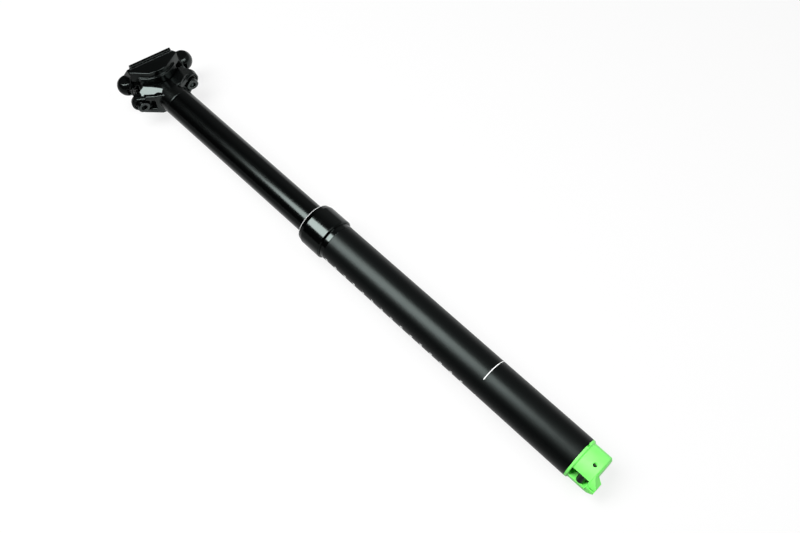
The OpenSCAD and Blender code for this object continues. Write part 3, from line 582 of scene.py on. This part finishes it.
class SEATPOST_OT_tube(bpy.types.Operator):
    """Satin outer tube with its printed insertion line and depth ticks"""

    bl_idname = "seatpost.tube"
    bl_label = "Outer tube"

    def execute(self, context):
        sizes = context.scene.seatpost_sizes
        coat("outer_tube", "tube_black")
        ink = finish("printed_mark")
        line = band(
            TUBE_RADIUS, sizes.insertion_height - sizes.insertion_width / 2, sizes.insertion_width,
            sizes.mark_height, LINE_START, LINE_SWEEP, LINE_STEPS)
        add_piece("insertion_line", line, "outer", "tube_black", material=ink)
        ticks = bmesh.new()
        for index in range(sizes.tick_count):
            height = FIRST_TICK - index * sizes.tick_pitch - sizes.tick_width
            tick = band(
                TUBE_RADIUS, height, sizes.tick_width, sizes.mark_height, TICK_START, TICK_SWEEP,
                TICK_STEPS)
            mesh = bpy.data.meshes.new("tick")
            tick.to_mesh(mesh)
            tick.free()
            ticks.from_mesh(mesh)
            bpy.data.meshes.remove(mesh)
        add_piece("depth_ticks", ticks, "outer", "tube_black", material=ink)
        return {"FINISHED"}


class SEATPOST_OT_collar(bpy.types.Operator):
    """Glossy seal collar and its rubber wiper"""

    bl_idname = "seatpost.collar"
    bl_label = "Seal collar"

    def execute(self, context):
        sizes = context.scene.seatpost_sizes
        dressed(
            "seal_collar", "collar_shell", "outer", "collar_black", sizes.fine_round, COLLAR_ROUND_ANGLE)
        coat("wiper_seal", "rubber_black")
        return {"FINISHED"}


class SEATPOST_OT_stanchion(bpy.types.Operator):
    """Polished sliding stanchion"""

    bl_idname = "seatpost.stanchion"
    bl_label = "Stanchion"

    def execute(self, context):
        coat("stanchion", "stanchion_black")
        return {"FINISHED"}


class SEATPOST_OT_head(bpy.types.Operator):
    """Forged head with rounded edges"""

    bl_idname = "seatpost.head"
    bl_label = "Head"

    def execute(self, context):
        sizes = context.scene.seatpost_sizes
        forged("head", "head_forging", "slider", "head_black", sizes.forge_grid, sizes.forge_passes)
        return {"FINISHED"}


class SEATPOST_OT_clamp(bpy.types.Operator):
    """Lower cradle and upper clamp of the saddle rails"""

    bl_idname = "seatpost.clamp"
    bl_label = "Saddle clamp"

    def execute(self, context):
        sizes = context.scene.seatpost_sizes
        dressed("lower_cradle", "cradle_plates", "clamp", "clamp_black", sizes.edge_round)
        forged("upper_clamp", "clamp_top", "clamp", "clamp_black", sizes.forge_grid, sizes.forge_passes)
        return {"FINISHED"}


class SEATPOST_OT_bolts(bpy.types.Operator):
    """Clamp bolts, washers and barrel nuts"""

    bl_idname = "seatpost.bolts"
    bl_label = "Clamp bolts"

    def execute(self, context):
        sizes = context.scene.seatpost_sizes
        for side, nut in (("front", FRONT_NUT), ("rear", REAR_NUT)):
            node = side + "_clamp_bolt"
            head = merged_copy(node)
            start = nut - RISE * sizes.thread_below
            bmesh.ops.bisect_plane(
                head, geom=head.verts[:] + head.edges[:] + head.faces[:], dist=SAME_POINT, plane_co=start,
                plane_no=RISE, clear_outer=True, clear_inner=False)
            bmesh.ops.holes_fill(head, edges=[edge for edge in head.edges if edge.is_boundary], sides=0)
            bolt = add_piece(side + "_bolt", head, "slider", "bolt_black", [node], made=False)
            round_edges(bolt, sizes.bolt_round)
            top = max(vertex.co.dot(RISE) for vertex in frame["nodes"][node].data.vertices)
            end = thread(top - start.dot(RISE), sizes.thread_radius, sizes.thread_depth, sizes.thread_pitch)
            lean = RISE.to_track_quat("Z", "Y").to_matrix().to_4x4()
            bmesh.ops.transform(end, verts=end.verts, matrix=Matrix.Translation(start) @ lean)
            add_piece(side + "_bolt_thread", end, "slider", "bolt_black")
        dressed("bolt_washers", "washers", "slider", "dark_steel", sizes.fine_round)
        dressed("front_barrel_nut", "front_nut_barrel", "front_nut", "steel", sizes.fine_round)
        dressed("rear_barrel_nut", "rear_nut_barrel", "rear_nut", "steel", sizes.fine_round)
        return {"FINISHED"}


class SEATPOST_OT_actuator(bpy.types.Operator):
    """Green actuator housing with its lever, pin and screws"""

    bl_idname = "seatpost.actuator"
    bl_label = "Actuator"

    def execute(self, context):
        sizes = context.scene.seatpost_sizes
        dressed("actuator_housing", "housing_shell", "outer", "actuator_green", sizes.fine_round)
        dressed("actuator_lever", "lever_plate", "lever", "lever_black", sizes.fine_round)
        coat("cable_anchor", "steel")
        coat("lever_pivot_pin", "dark_steel")
        coat("housing_screws", "dark_steel")
        return {"FINISHED"}


class SEATPOST_OT_inner(bpy.types.Operator):
    """Finishes of the pieces inside the post"""

    bl_idname = "seatpost.inner"
    bl_label = "Inner pieces"

    def execute(self, context):
        slots = {row["node"]: row["material_slot"] for row in frame["record"]["subparts"]}
        for node in (
                "foam_ring", "upper_bushing", "foot_plug", "cartridge_cylinder", "rod_gland", "valve_pin",
                "glide_bushing", "guide_keys", "cartridge_rod", "rod_piston", "piston_seal", "piston_nut",
                "rod_nut"):
            coat(node, slots[node])
        return {"FINISHED"}


def add_table(glow):
    """A large pale table behind the post, seen from its upper side only."""
    bm = bmesh.new()
    bmesh.ops.create_grid(bm, x_segments=TABLE_CELLS, y_segments=TABLE_CELLS, size=TABLE_HALF)
    turn = Matrix.Rotation(math.pi / 2 - TABLE_LEAN, 3, "X")
    bmesh.ops.rotate(bm, verts=bm.verts, cent=(0, 0, 0), matrix=turn)
    bmesh.ops.translate(bm, verts=bm.verts, vec=(0.0, TABLE_BEHIND, 0.0))
    mesh = bpy.data.meshes.new("table")
    bm.to_mesh(mesh)
    bm.free()
    table = bpy.data.objects.new("table", mesh)
    bpy.context.scene.collection.objects.link(table)
    material = bpy.data.materials.new("table_paper")
    material.use_nodes = True
    tree = material.node_tree
    tree.nodes.clear()
    output = node_of(tree, "ShaderNodeOutputMaterial")
    paper = node_of(tree, "ShaderNodeBsdfDiffuse")
    paper.inputs["Color"].default_value = TABLE_PAPER
    shine = node_of(tree, "ShaderNodeEmission")
    place = node_of(tree, "ShaderNodeTexCoord")
    split = node_of(tree, "ShaderNodeSeparateXYZ")
    tree.links.new(place.outputs["Object"], split.inputs["Vector"])
    falloff = spread(tree, split.outputs["X"], 0.0, MIRRORED_SHARE * glow, MIRRORED_FROM, MIRRORED_TO)
    path = node_of(tree, "ShaderNodeLightPath")
    seen = node_of(tree, "ShaderNodeMix", data_type="FLOAT")
    tree.links.new(path.outputs["Is Camera Ray"], seen.inputs["Factor"])
    tree.links.new(falloff, seen.inputs[2])
    seen.inputs[3].default_value = glow
    tree.links.new(seen.outputs[0], shine.inputs["Strength"])
    both = node_of(tree, "ShaderNodeAddShader")
    tree.links.new(paper.outputs["BSDF"], both.inputs[0])
    tree.links.new(shine.outputs["Emission"], both.inputs[1])
    clear = node_of(tree, "ShaderNodeBsdfTransparent")
    side = node_of(tree, "ShaderNodeNewGeometry")
    choice = node_of(tree, "ShaderNodeMixShader")
    tree.links.new(side.outputs["Backfacing"], choice.inputs["Fac"])
    tree.links.new(both.outputs["Shader"], choice.inputs[1])
    tree.links.new(clear.outputs["BSDF"], choice.inputs[2])
    tree.links.new(choice.outputs["Shader"], output.inputs["Surface"])
    mesh.materials.append(material)


def add_surroundings():
    """A pale background, with a dim room in the reflections that is lighter on one side."""
    world = bpy.data.worlds.new("studio")
    bpy.context.scene.world = world
    world.use_nodes = True
    tree = world.node_tree
    tree.nodes.clear()
    output = node_of(tree, "ShaderNodeOutputWorld")
    room = node_of(tree, "ShaderNodeBackground")
    place = node_of(tree, "ShaderNodeTexCoord")
    towards = node_of(tree, "ShaderNodeVectorMath", operation="DOT_PRODUCT")
    towards.inputs[1].default_value = ROOM_SIDE
    tree.links.new(place.outputs["Generated"], towards.inputs[0])
    strength = spread(tree, towards.outputs["Value"], ROOM_DIM, ROOM_LIGHT, ROOM_FROM, ROOM_TO)
    tree.links.new(strength, room.inputs["Strength"])
    pale = node_of(tree, "ShaderNodeBackground")
    pale.inputs["Color"].default_value = BACKGROUND
    path = node_of(tree, "ShaderNodeLightPath")
    choice = node_of(tree, "ShaderNodeMixShader")
    tree.links.new(path.outputs["Is Camera Ray"], choice.inputs["Fac"])
    tree.links.new(room.outputs["Background"], choice.inputs[1])
    tree.links.new(pale.outputs["Background"], choice.inputs[2])
    tree.links.new(choice.outputs["Shader"], output.inputs["Surface"])


def add_softbox(name, direction, distance, width, height, power, aim, roll=0.0):
    """An oval softbox that faces a point of the post, turned about its own axis by a roll in degrees."""
    light = bpy.data.lights.new(name, "AREA")
    light.shape = "ELLIPSE"
    light.size = width
    light.size_y = height
    light.energy = power
    lamp = bpy.data.objects.new(name, light)
    bpy.context.scene.collection.objects.link(lamp)
    place = aim + direction.normalized() * distance
    facing = (aim - place).to_track_quat("-Z", "Y").to_matrix().to_4x4()
    lamp.matrix_world = Matrix.Translation(place) @ facing @ Matrix.Rotation(math.radians(roll), 4, "Z")


class SEATPOST_OT_stage(bpy.types.Operator):
    """Camera, softbox and pale table"""

    bl_idname = "seatpost.stage"
    bl_label = "Studio"

    def execute(self, context):
        scene = context.scene
        stage = scene.seatpost_stage
        scene.view_settings.view_transform = "Standard"
        view = bpy.data.cameras.new("studio_camera")
        view.lens = stage.lens
        view.sensor_width = SENSOR_WIDTH
        view.sensor_fit = "HORIZONTAL"
        view.clip_start = CLIP_NEAR
        view.clip_end = CLIP_FAR
        camera = bpy.data.objects.new("studio_camera", view)
        scene.collection.objects.link(camera)
        across = Vector(CAMERA_ACROSS)
        ahead = Vector(CAMERA_AHEAD).normalized()
        across = (across - ahead * across.dot(ahead)).normalized()
        above = across.cross(ahead)
        turn = Matrix((across, above, -ahead)).transposed().to_4x4()
        camera.matrix_world = Matrix.Translation(CAMERA_PLACE) @ turn
        scene.camera = camera
        add_table(stage.table_glow)
        add_surroundings()
        add_softbox("softbox", *SOFTBOX, stage.softbox_power, Vector((0.0, 0.0, 0.0)), SOFTBOX_ROLL)
        add_softbox("low_fill", *LOW_FILL, stage.fill_power, Vector((0.0, 0.0, TUBE_LOW.z / 2)))
        return {"FINISHED"}


STEPS = (
    SEATPOST_OT_tube, SEATPOST_OT_collar, SEATPOST_OT_stanchion, SEATPOST_OT_head, SEATPOST_OT_clamp,
    SEATPOST_OT_bolts, SEATPOST_OT_actuator, SEATPOST_OT_inner, SEATPOST_OT_stage)


class SEATPOST_PT_panel(bpy.types.Panel):
    """Lists the seatpost's pieces in the sidebar"""

    bl_idname = "SEATPOST_PT_panel"
    bl_label = "Seatpost"
    bl_space_type = "VIEW_3D"
    bl_region_type = "UI"
    bl_category = "Seatpost"

    def draw(self, context):
        layout = self.layout
        for step in STEPS:
            layout.operator(step.bl_idname)
        for group in (
                context.scene.seatpost_sizes, context.scene.seatpost_colours, context.scene.seatpost_stage):
            column = layout.column()
            for key in group.bl_rna.properties.keys():
                if key not in ("rna_type", "name"):
                    column.prop(group, key)


CLASSES = (SeatpostSizes, SeatpostColours, SeatpostStage) + STEPS + (SEATPOST_PT_panel,)


def register():
    for item in CLASSES:
        bpy.utils.register_class(item)
    bpy.types.Scene.seatpost_sizes = PointerProperty(type=SeatpostSizes)
    bpy.types.Scene.seatpost_colours = PointerProperty(type=SeatpostColours)
    bpy.types.Scene.seatpost_stage = PointerProperty(type=SeatpostStage)


def unregister():
    del bpy.types.Scene.seatpost_stage
    del bpy.types.Scene.seatpost_colours
    del bpy.types.Scene.seatpost_sizes
    for item in reversed(CLASSES):
        bpy.utils.unregister_class(item)


def main():
    register()
    for step in STEPS:
        group, action = step.bl_idname.split(".")
        getattr(getattr(bpy.ops, group), action)()


if __name__ == "__main__":
    main()
